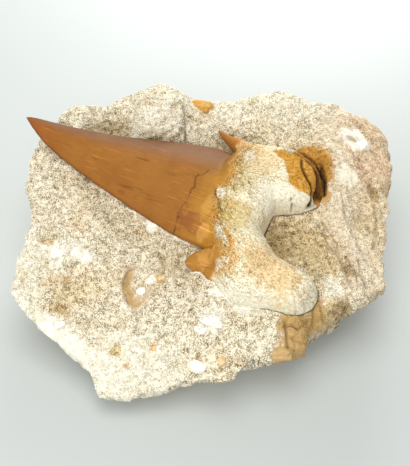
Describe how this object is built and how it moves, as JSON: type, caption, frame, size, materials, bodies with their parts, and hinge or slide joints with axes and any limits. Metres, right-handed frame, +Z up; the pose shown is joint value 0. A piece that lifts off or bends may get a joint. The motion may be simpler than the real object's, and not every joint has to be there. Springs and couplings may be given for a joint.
{
  "type": "fossil shark tooth in matrix",
  "caption": "Fossil mackerel-shark tooth with a tall pointed crown, side cusplets and a two-lobed root, lying half sunk in a block of pale sandy rock.",
  "frame": {"origin": "middle of the footprint, on the surface the block of rock stands on", "axes": "+X along the block's long side, with the tooth's point toward -X, -Y toward the low front edge, +Z up"},
  "size_m": [0.0917, 0.0756, 0.0357],
  "materials": {
    "fossil_tooth": "fossil enamel, amber to brown and satin glossy on the crown, porous cream bone on the root",
    "matrix_stone": "matt, coarse phosphate sand cemented into rock, cream with brown and grey grains"
  },
  "bodies": {
    "root": {"tooth": "fossil_tooth", "matrix": "matrix_stone"}
  },
  "joints": []
}
